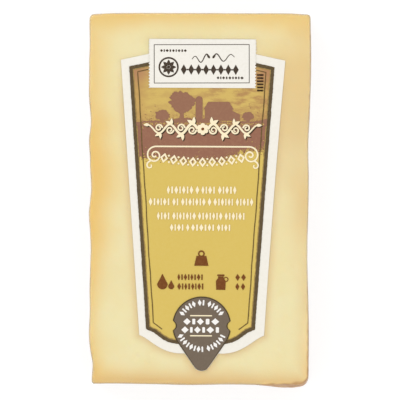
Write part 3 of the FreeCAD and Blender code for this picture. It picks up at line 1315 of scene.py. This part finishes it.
@dataclass
class Countryside:
    """The plain picture over the band: low ground, broad trees and a barn, in one brown."""

    height: float = 74.4
    foot: float = 72.6
    crown_points: int = 120
    seed: int = 4

    def build(self, place: LabelPlace) -> None:
        """Builds the picture."""
        sheet = InkSheet("low_ground_trees_and_barn", InkLayer.PICTURE)
        self._ground(sheet)
        self._barn(sheet, 0.6, 74.2)
        for x, y, wide, tall in ((-6.2, 79.6, 8.0, 6.8), (-12.0, 75.7, 4.6, 3.2), (13.4, 75.6, 3.6, 2.8)):
            self._tree(sheet, x, y, wide, tall)
        sheet.press(place, HILL_INK.build())

    def _ground(self, sheet: InkSheet) -> None:
        """Adds the low ground, which rolls along over the band."""
        made = bmesh.ops.create_grid(sheet.bm, x_segments=90, y_segments=1, size=0.5)
        shape = PanelShape()
        for vert in made["verts"]:
            x = shape.axis + 2.0 * vert.co.x * shape.half(self.height, PanelPrint.under_frame)
            roll = 0.55 * math.sin(x * 0.23 + 2.4) + 0.2 * math.sin(x * 0.71)
            rough = 0.25 * noise.fractal(Vector((x * 1.4, 3.0, 0.0)), 0.7, 2.2, 4)
            y = self.height + roll + rough if vert.co.y > 0.0 else self.foot
            vert.co = Vector((x, y, 0.0))
        sheet.raise_faces(sheet.bm.faces[:])

    def _tree(self, sheet: InkSheet, x: float, y: float, wide: float, tall: float) -> None:
        """Adds a broad tree, whose crown has a bumpy outline, over a short trunk."""
        crown = sheet.circle(self.crown_points, 0.5)
        for vert in crown.verts:
            way = vert.co.normalized()
            tufts = abs(math.sin(6.5 * math.atan2(way.y, way.x) + x))
            broken = noise.fractal(way * 1.7 + Vector((x, self.seed, 0.0)), 0.7, 2.1, 4)
            swell = 0.88 + 0.09 * tufts + 0.2 * broken
            vert.co = Vector((way.x * wide, way.y * tall, 0.0)) * 0.5 * swell
        sheet.raise_faces([crown], spot(x, y))
        trunk = 0.07 * wide
        low = self.height - 0.4
        sheet.polygon([
            (x - 2.0 * trunk, low), (x + 2.0 * trunk, low), (x + trunk, low + 1.0), (x + trunk, y),
            (x - trunk, y), (x - trunk, low + 1.0),
        ])

    def _barn(self, sheet: InkSheet, x: float, y: float) -> None:
        """Adds a long barn with two slopes to its roof, a lean-to and a silo."""
        sheet.polygon([
            (x, y), (x + 8.2, y), (x + 8.2, y + 3.4), (x + 8.6, y + 3.3), (x + 7.2, y + 5.6),
            (x + 1.0, y + 5.6), (x - 0.4, y + 3.3), (x, y + 3.4),
        ])
        sheet.polygon([(x + 8.0, y), (x + 10.4, y), (x + 10.4, y + 1.9), (x + 8.0, y + 3.0)])
        silo = sheet.circle(24, 1.05)
        for vert in silo.verts:
            vert.co.y = vert.co.y + 6.2 if vert.co.y > 0.0 else 0.0
        sheet.raise_faces([silo], spot(x - 1.7, y))


@dataclass
class Garland:
    """A cream garland along the band: a leafy vine that waves out to each side of a small flower."""

    middle: float = 71.7
    half: float = 16.3
    start: float = 1.5
    swing: float = 1.6
    waves: float = 2.25
    stem_width: float = 0.8
    tendril_width: float = 0.5
    tendril_radius: float = 1.3
    leaf_length: float = 2.3
    leaf_width: float = 0.95
    petals: int = 6
    shadow_shift: tuple[float, float] = (0.3, -0.3)

    def build(self, place: LabelPlace) -> None:
        """Builds the garland and the dark drop shadow under it."""
        shadow = InkSheet("garland_shadow", InkLayer.FRAME)
        self._draw(shadow, *self.shadow_shift)
        shadow.press(place, SHADOW_INK.build())
        garland = InkSheet("garland", InkLayer.MARKS)
        self._draw(garland, 0.0, 0.0)
        garland.press(place, CREAM_INK.build())
        heart = InkSheet("garland_heart", InkLayer.PLATE)
        heart.disc(0.0, self.middle, 0.45, 16)
        heart.press(place, FIGURE_INK.build())

    def _stem(self, along: float, side: int) -> tuple[float, float]:
        """Gives the stem's place at this share of the way from the flower to its end."""
        wave = math.sin(along * self.waves * math.tau) * (1.0 - 0.25 * along)
        return side * (self.start + (self.half - self.start) * along), self.middle + self.swing * wave

    def _tendril(self, number: int, side: int) -> list[tuple[float, float]]:
        """Gives a tendril that leaves the stem and curls up in one of the bays of its waves."""
        along = (0.25 + 0.5 * number) / self.waves
        x, _ = self._stem(along, side)
        up = -1.0 if number % 2 else 1.0
        points = []
        for step in range(15):
            share = step / 14.0
            angle = math.pi + share * 1.3 * math.tau
            radius = self.tendril_radius * (1.0 - 0.72 * share) * (1.0 - 0.2 * along)
            y = self.middle + up * (radius * math.sin(angle) - 0.3)
            points.append((x + side * radius * math.cos(angle), y))
        return points

    def _draw(self, sheet: InkSheet, shift_x: float, shift_y: float) -> None:
        """Adds the garland's shapes to a sheet."""
        for side in (-1, 1):
            route = [self._stem(step / 36.0, side) for step in range(37)]
            sheet.stroke([(x + shift_x, y + shift_y) for x, y in route], self.stem_width, 0.5)
            for number in range(round(2.0 * self.waves)):
                curl = self._tendril(number, side)
                sheet.stroke([(x + shift_x, y + shift_y) for x, y in curl], self.tendril_width, 0.7)
                along = (0.2 + 0.5 * number) / self.waves
                x, y = self._stem(along, side)
                up = -1.0 if number % 2 else 1.0
                size = 1.0 - 0.3 * along
                for spread in (42.0, 105.0):
                    turn = math.radians(up * spread if side > 0 else 180.0 - up * spread)
                    sheet.leaf(
                        x + shift_x, y + shift_y, turn, self.leaf_length * size, self.leaf_width * size,
                        -0.35 * up * side,
                    )
            x, y = self._stem(1.0, side)
            sheet.leaf(x + shift_x - side * 0.4, y + shift_y, 0.0 if side > 0 else math.pi, 1.7, 0.8)
        for number in range(self.petals):
            turn = math.tau * (number + 0.5) / self.petals
            x, y = shift_x + 1.05 * math.cos(turn), self.middle + shift_y + 1.05 * math.sin(turn)
            sheet.disc(x, y, 0.72, 14)
        sheet.disc(shift_x, self.middle + shift_y, 0.9, 16)


@dataclass
class ScrollRule:
    """A cream rule with a volute at each end, over a shallow arc of open lozenges and dots."""

    height: float = 66.5
    width: float = 0.46
    volute_x: float = 14.15
    volute_radius: float = 2.6
    volute_eye: float = 0.35
    turns: float = 1.7
    lozenges: int = 9
    lozenge_size: tuple[float, float] = (2.35, 3.0)
    lozenge_line: float = 0.5
    arc_half: float = 11.4
    arc_low: float = 61.9
    arc_rise: float = 1.2

    def build(self, place: LabelPlace) -> None:
        """Builds the rule and its ornaments."""
        sheet = InkSheet("scroll_rule", InkLayer.MARKS)
        ends = {side: self._volute(side) for side in (-1, 1)}
        half = self.volute_x - 0.8
        rule = [(half * step / 4.0, self.height) for step in range(-4, 5)]
        sheet.stroke([*reversed(ends[-1]), *rule, *ends[1]], self.width)
        for side in (-1, 1):
            sheet.stroke(self._tail(side), self.width, 0.8)
        for number in range(self.lozenges):
            share = 2.0 * number / (self.lozenges - 1) - 1.0
            turn = math.atan2(2.0 * self.arc_rise * share, self.arc_half)
            y = self.arc_low + self.arc_rise * share * share
            self._open_lozenge(sheet, share * self.arc_half, y, turn)
            if number + 1 < self.lozenges:
                between = share + 1.0 / (self.lozenges - 1)
                y = self.arc_low + self.arc_rise * between * between
                sheet.disc(between * self.arc_half, y - 0.95, 0.3, 12)
                sheet.disc(between * self.arc_half, y + 0.95, 0.3, 12)
        sheet.press(place, CREAM_INK.build())

    def _volute(self, side: int) -> list[tuple[float, float]]:
        """Gives the points of the coil that an end of the rule runs into."""
        middle = self.height - self.volute_radius
        steps = 26
        points = []
        for step in range(steps + 1):
            share = step / steps
            angle = math.pi / 2.0 - share * self.turns * math.tau
            radius = self.volute_eye + (self.volute_radius - self.volute_eye) * (1.0 - share) ** 1.3
            x = self.volute_x + radius * math.cos(angle)
            points.append((side * x, middle + radius * math.sin(angle)))
        return points

    def _tail(self, side: int) -> list[tuple[float, float]]:
        """Gives the small hook that hangs from the coil."""
        hook = (
            (1.05, 62.3), (1.75, 62.1), (2.4, 61.2), (2.15, 60.3), (1.35, 60.1), (0.85, 60.6), (1.15, 61.1),
        )
        return [(side * (self.volute_x + x), y) for x, y in hook]

    def _open_lozenge(self, sheet: InkSheet, x: float, y: float, turn: float) -> None:
        """Adds the outline of a diamond."""
        face = sheet.circle(4, 0.5)
        bmesh.ops.scale(sheet.bm, vec=(*self.lozenge_size, 1.0), verts=list(face.verts))
        sheet.hollow(face, self.lozenge_line, spot(x, y, turn))


@dataclass
class PrintedLines:
    """The small print, as rows of small ornaments and pictograms: nothing on it can be read."""

    # Left end, right end, foot, top and the groups in each cream row.
    cream_rows: tuple[tuple[float, float, float, float, tuple[int, ...]], ...] = (
        (-10.5, 10.0, 52.5, 54.75, (7, 1, 4, 5)),
        (-15.8, 15.0, 49.0, 51.2, (6, 2, 7, 1, 6, 5)),
        (-13.4, 12.7, 44.8, 47.0, (4, 7, 7, 6)),
        (-9.5, 8.5, 41.5, 43.5, (4, 1, 6, 4)),
    )
    brown_rows: tuple[tuple[float, float, float, float, tuple[int, ...]], ...] = (
        (-7.2, 0.4, 26.9, 28.7, (8,)),
        (-7.2, 0.6, 24.1, 26.0, (8,)),
        (10.0, 12.9, 26.9, 28.7, (1, 1)),
        (10.0, 12.7, 24.1, 26.0, (1, 1)),
    )
    weight_at: tuple[float, float] = (-0.2, 31.2)
    # Each drop's place and radius.
    drops: tuple[tuple[float, float, float], ...] = ((-11.7, 25.7, 1.55), (-9.1, 25.1, 0.9))
    churn_at: tuple[float, float] = (5.6, 24.1)
    # The stamp's first dot, how many bars, rows and dots it has, and how far apart each of them lie.
    stamp_at: tuple[float, float] = (16.22, 83.1)
    stamp_counts: tuple[int, int, int] = (6, 2, 5)
    stamp_pitches: tuple[float, float, float] = (0.92, 0.2, 0.38)
    stamp_dot: float = 0.19

    def build(self, place: LabelPlace) -> None:
        """Builds the rows, the pictograms and the stamp."""
        cream = InkSheet("cream_rows", InkLayer.MARKS)
        for seed, (left, right, low, high, words) in enumerate(self.cream_rows):
            cream.mark_row(left, right, low, high, words, seed + 1)
        cream.press(place, CREAM_INK.build())
        brown = InkSheet("brown_rows_and_pictograms", InkLayer.MARKS)
        for seed, (left, right, low, high, words) in enumerate(self.brown_rows):
            brown.mark_row(left, right, low, high, words, seed + 21)
        self._weight(brown, *self.weight_at)
        for drop in self.drops:
            self._drop(brown, *drop)
        self._churn(brown, *self.churn_at)
        brown.press(place, FIGURE_INK.build())
        self._stamp(place)

    def _stamp(self, place: LabelPlace) -> None:
        """Lays an ink-jet stamp of plain bars, each two full rows of dots."""
        stamp = InkSheet("batch_stamp", InkLayer.FRAME)
        bars, rows, dots = self.stamp_counts
        bar_pitch, row_pitch, dot_pitch = self.stamp_pitches
        for number in range(bars * rows * dots):
            bar, row, dot = number // (rows * dots), number // dots % rows, number % dots
            y = self.stamp_at[1] + bar_pitch * bar + row_pitch * row
            stamp.disc(self.stamp_at[0] + dot_pitch * dot, y, self.stamp_dot, 8)
        stamp.press(place, STAMP_INK.build())

    def _weight(self, sheet: InkSheet, x: float, y: float) -> None:
        """Adds a flat-sided scale weight with a ring to lift it by."""
        sheet.polygon([(x - 2.1, y), (x + 2.1, y), (x + 1.45, y + 2.9), (x - 1.45, y + 2.9)])
        sheet.ring(x, y + 3.55, 1.0, 0.42, 28)

    def _drop(self, sheet: InkSheet, x: float, y: float, radius: float) -> None:
        """Adds a drop."""
        drop = sheet.circle(28, radius)
        for vert in drop.verts:
            rise = max(0.0, vert.co.y / radius)
            vert.co.x *= 1.0 - 0.72 * rise ** 1.4
            vert.co.y *= 1.0 + 0.95 * rise
        sheet.raise_faces([drop], spot(x, y))

    def _churn(self, sheet: InkSheet, x: float, y: float) -> None:
        """Adds a milk churn with a lid and a handle."""
        sheet.polygon([
            (x - 1.35, y), (x + 1.35, y), (x + 1.45, y + 2.6), (x + 0.8, y + 3.5), (x + 0.8, y + 3.95),
            (x - 0.8, y + 3.95), (x - 0.8, y + 3.5), (x - 1.45, y + 2.6),
        ])
        sheet.block(x, y + 4.3, 2.1, 0.5)
        sheet.ring(x + 1.5, y + 3.1, 0.75, 0.26, 20)


@dataclass
class TicketPrint:
    """The white ticket at the head, with toothed sides, a fine border and plain ornaments."""

    foot: float = 83.9
    tooth_pitch: float = 0.9
    tooth_depth: float = 0.42
    border_left: float = 14.58
    border_right: float = 13.78
    border_low: float = 85.25
    border_high: float = 96.82
    border_width: float = 0.21
    border_turn: float = 0.4
    rosette: tuple[float, float] = (-10.2, 90.0)
    rosette_radius: float = 3.0
    rosette_line: float = 0.5
    petals: int = 8
    lozenges: int = 8
    lozenge_start: tuple[float, float] = (-5.7, 89.3)
    lozenge_pitch: float = 2.2
    lozenge_size: tuple[float, float] = (1.75, 3.1)
    dot_radius: float = 0.26
    flourish_at: tuple[float, float] = (2.4, 92.7)
    flourish_reaches: tuple[tuple[int, float], ...] = ((-1, 5.2), (1, 6.4))
    # Left end, right end, foot, top and the number of places in each small row.
    small_rows: tuple[tuple[float, float, float, float, int], ...] = (
        (-12.7, -4.9, 94.5, 95.3, 9), (4.1, 12.0, 86.5, 87.3, 9),
    )

    def build(self, place: LabelPlace) -> None:
        """Builds the ticket's pieces."""
        self._ground(place)
        self._crest(place)

    def _ground(self, place: LabelPlace) -> None:
        """Lays the white ground over the panel."""
        sheet = InkSheet("ticket_ground", InkLayer.PLATE)
        high = place.length - 0.08
        teeth = round((high - self.foot) / self.tooth_pitch)
        made = bmesh.ops.create_grid(sheet.bm, x_segments=1, y_segments=2 * teeth, size=0.5)
        for vert in made["verts"]:
            row = round((vert.co.y + 0.5) * 2 * teeth)
            inward = self.tooth_depth if row % 2 else 0.0
            out = place.ticket_right if vert.co.x > 0.0 else -place.ticket_left
            x = out - math.copysign(0.05 + inward, out)
            vert.co = Vector((x, self.foot + (high - self.foot) * row / (2 * teeth), 0.0))
        sheet.raise_faces(sheet.bm.faces[:])
        sheet.press(place, TICKET_INK.build())

    def _crest(self, place: LabelPlace) -> None:
        """Lays the border, a rosette, a row of lozenges, a pen flourish and two small rows."""
        sheet = InkSheet("ticket_border_and_crest", InkLayer.CREST)
        made = bmesh.ops.create_grid(sheet.bm, x_segments=1, y_segments=1, size=0.5)
        size = (self.border_left + self.border_right, self.border_high - self.border_low, 1.0)
        bmesh.ops.scale(sheet.bm, vec=size, verts=made["verts"])
        x, y = (self.border_right - self.border_left) / 2.0, (self.border_low + self.border_high) / 2.0
        border = made["verts"][0].link_faces[0]
        sheet.hollow(border, self.border_width, spot(x, y, math.radians(self.border_turn)))
        self._rosette(sheet)
        left, level = self.lozenge_start
        for number in range(self.lozenges):
            sheet.lozenge(left + self.lozenge_pitch * number, level, *self.lozenge_size)
            if number + 1 < self.lozenges:
                sheet.disc(left + self.lozenge_pitch * (number + 0.5), level, self.dot_radius, 10)
        self._flourish(sheet)
        for seed, (left, right, low, high, places) in enumerate(self.small_rows, 31):
            sheet.mark_row(left, right, low, high, (places,), seed)
        sheet.press(place, CREST_INK.build())

    def _rosette(self, sheet: InkSheet) -> None:
        """Adds a rosette: petals round a dot, in a ring."""
        x, y = self.rosette
        sheet.ring(x, y, self.rosette_radius, self.rosette_line)
        for number in range(self.petals):
            turn = math.tau * number / self.petals
            sheet.leaf(x + 0.5 * math.cos(turn), y + 0.5 * math.sin(turn), turn, 1.8, 0.9)
        sheet.disc(x, y, 0.5, 16)

    def _flourish(self, sheet: InkSheet) -> None:
        """Adds a pen flourish that waves away to the left and right from two small leaves."""
        middle, level = self.flourish_at
        for side, reach in self.flourish_reaches:
            route = []
            for step in range(19):
                share = step / 18.0
                swing = 1.4 * math.sin(share * 3.0 * math.pi) * (1.0 - 0.45 * share)
                x = middle + side * (0.5 + reach * share)
                route.append((x, level + side * 0.35 * share + swing))
            sheet.stroke(route, 0.36, 0.55)
            sheet.leaf(middle + side * 0.4, level, math.radians(52.0 if side > 0 else 128.0), 1.6, 0.6)


@dataclass
class Badge:
    """The taupe badge at the foot: a disc with two side nicks, drawn out to a rounded tip."""

    centre: float = 13.4
    radius: float = 8.68
    tip_centre: float = 2.62
    tip_radius: float = 2.52
    edge_width: float = 0.36
    tip_edge: float = 0.12
    nick_depth: float = 1.0
    nick_reach: float = 8.5
    # Left end, right end, foot, top and the number of places in each row.
    rows: tuple[tuple[float, float, float, float, int], ...] = (
        (-5.3, 5.0, 13.75, 15.55, 5), (-5.9, 5.6, 11.3, 13.1, 6),
    )
    # Radius, first and last angle in degrees, and the groups of places in each arc.
    arcs: tuple[tuple[float, float, float, tuple[int, ...]], ...] = (
        (6.85, 148.0, 33.0, (5, 2, 5)), (6.95, 206.0, 334.0, (8, 6)),
    )
    arc_marks: float = 1.75
    rules: tuple[float, float] = (16.4, 10.45)
    rule_size: tuple[float, float] = (6.5, 0.34)

    def build(self, place: LabelPlace) -> None:
        """Builds the badge's pieces."""
        edge = InkSheet("badge_edge", InkLayer.PLATE)
        self._outline(edge)
        edge.press(place, EDGE_INK.build())
        ground = InkSheet("badge_ground", InkLayer.CREST)
        self._outline(ground, self.edge_width)
        ground.press(place, BADGE_INK.build())
        marks = InkSheet("badge_marks", InkLayer.BADGE_MARKS)
        for seed, (left, right, low, high, places) in enumerate(self.rows, 41):
            marks.mark_row(left, right, low, high, (places,), seed)
        for radius, start, end, groups in self.arcs:
            marks.mark_arc((0.0, self.centre), radius, start, end, self.arc_marks, groups)
        marks.press(place, WHITE_INK.build())
        rules = InkSheet("badge_rules", InkLayer.BADGE_MARKS)
        for y in self.rules:
            rules.block(-0.2, y, *self.rule_size)
        rules.press(place, CREAM_INK.build())

    def _outline(self, sheet: InkSheet, inset: float = 0.0) -> None:
        """Adds the badge's shape, a circle whose lower part is drawn out round the tip."""
        shape = sheet.circle(180, 1.0)
        for vert in shape.verts:
            way = vert.co.normalized()
            disc = self.centre * way.y + self.radius
            tip = self.tip_centre * way.y + self.tip_radius
            middle, radius, kept = (self.centre, self.radius, inset)
            if disc < tip:
                middle, radius, kept = (self.tip_centre, self.tip_radius, min(inset, self.tip_edge))
            angle = math.degrees(math.atan2(way.y, abs(way.x)))
            nick = self.nick_depth * max(0.0, 1.0 - (angle / self.nick_reach) ** 2) ** 0.5
            vert.co = way * (radius - kept - nick) + Vector((0.0, middle, 0.0))
        sheet.raise_faces([shape])


# --- the studio --------------------------------------------------------------------------------


@dataclass
class Studio:
    """A plain white table under soft light, with the camera straight over the pack."""

    view_width: float = 118.52
    distance: float = 3.0
    aim: tuple[float, float] = (-0.02, 0.26)
    world_fill: float = 0.82
    lamp_power: float = 4.0
    table_glow: float = 0.76
    table_lit: str = "#e9e9e9"
    table_seen: str = "#9a9a9a"
    table_drop: float = 0.05

    def build(self) -> None:
        """Sets up the table, the light, the camera and the view."""
        self._table()
        self._world()
        self._lamp("lamp_head_left", Vector((-0.75, 0.75, 1.0)), 0.8, self.lamp_power * 1.25)
        self._lamp("lamp_foot_right", Vector((0.85, -0.6, 1.0)), 0.9, self.lamp_power * 0.75)
        self._camera()
        bpy.context.scene.view_settings.view_transform = "Standard"

    def _table(self) -> None:
        """Makes the white table, which shows white and keeps the pack's shadow."""
        bm = bmesh.new()
        bmesh.ops.create_grid(bm, x_segments=1, y_segments=1, size=8.0)
        bmesh.ops.translate(bm, vec=-UP * self.table_drop * MM, verts=bm.verts)
        mesh = bpy.data.meshes.new("table")
        bm.to_mesh(mesh)
        bm.free()
        material, tree = new_material("table_matte_white")
        seen = self._seen(tree)
        strength = add_node(tree, "ShaderNodeMath", {0: seen, 1: self.table_glow}, {"operation": "MULTIPLY"})
        glow = add_node(tree, "ShaderNodeEmission", {"Strength": strength.outputs["Value"]})
        white = add_node(tree, "ShaderNodeMix", {
            0: seen, 6: linear(self.table_lit), 7: linear(self.table_seen),
        }, {"data_type": "RGBA"})
        board = add_node(tree, "ShaderNodeBsdfDiffuse", {"Color": white.outputs[2]})
        both = add_node(tree, "ShaderNodeAddShader", {0: glow.outputs["Emission"], 1: board.outputs["BSDF"]})
        add_node(tree, "ShaderNodeOutputMaterial", {"Surface": both.outputs["Shader"]})
        mesh.materials.append(material)
        table = bpy.data.objects.new("table", mesh)
        bpy.context.scene.collection.objects.link(table)

    def _seen(self, tree: bpy.types.NodeTree) -> bpy.types.NodeSocket:
        """Gives one for rays from the camera, from gloss and through clear pieces."""
        path = add_node(tree, "ShaderNodeLightPath")
        total = add_node(tree, "ShaderNodeMath", {
            0: path.outputs["Is Camera Ray"], 1: path.outputs["Is Glossy Ray"],
        }, {"operation": "ADD", "use_clamp": True})
        return add_node(tree, "ShaderNodeMath", {
            0: total.outputs["Value"], 1: path.outputs["Is Transmission Ray"],
        }, {"operation": "ADD", "use_clamp": True}).outputs["Value"]

    def _world(self) -> None:
        """Makes the white surroundings: white where they are seen, and softer as a light."""
        world = bpy.data.worlds.new("studio")
        world.use_nodes = True
        tree = world.node_tree
        tree.nodes.clear()
        strength = add_node(tree, "ShaderNodeMapRange", {
            "Value": self._seen(tree), "To Min": self.world_fill, "To Max": 1.0,
        })
        sky = add_node(tree, "ShaderNodeBackground", {
            "Color": (1.0, 1.0, 1.0, 1.0), "Strength": strength.outputs["Result"],
        })
        add_node(tree, "ShaderNodeOutputWorld", {"Surface": sky.outputs["Background"]})
        bpy.context.scene.world = world

    def _lamp(self, name: str, place: Vector, size: float, power: float) -> None:
        """Hangs a soft square lamp that faces the pack."""
        light = bpy.data.lights.new(name, "AREA")
        light.shape = "SQUARE"
        light.size = size
        light.energy = power
        lamp = bpy.data.objects.new(name, light)
        lamp.location = place
        lamp.rotation_euler = (-place).to_track_quat("-Z", "Y").to_euler()
        bpy.context.scene.collection.objects.link(lamp)

    def _camera(self) -> None:
        """Hangs the camera over the pack, square to its labelled face."""
        _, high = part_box("wrapped_cheese")
        data = bpy.data.cameras.new("camera")
        data.lens = data.sensor_width * self.distance / (self.view_width * MM)
        camera = bpy.data.objects.new("camera", data)
        camera.location = (self.aim[0] * MM, self.aim[1] * MM, high.z + self.distance)
        bpy.context.scene.collection.objects.link(camera)
        bpy.context.scene.camera = camera


def main() -> None:
    """Builds the pack and the studio in order."""
    logging.basicConfig(level=logging.INFO, format="%(name)s: %(message)s")
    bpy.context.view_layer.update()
    folds = FilmFolds()
    bare_rind = BareRind()
    CheeseSlab().build(WashedRindCheeseFinish(), folds, bare_rind)
    ShrinkFilm().build(ShrinkFilmFinish(), folds, bare_rind)
    paper = LabelPaperFinish().build()
    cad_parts["front_label"].material_slots[0].material = paper
    place = LabelPlace.from_frame()
    PanelPrint().build(place)
    Countryside().build(place)
    Garland().build(place)
    ScrollRule().build(place)
    PrintedLines().build(place)
    TicketPrint().build(place)
    Badge().build(place)
    Studio().build()


if __name__ == "__main__":
    main()
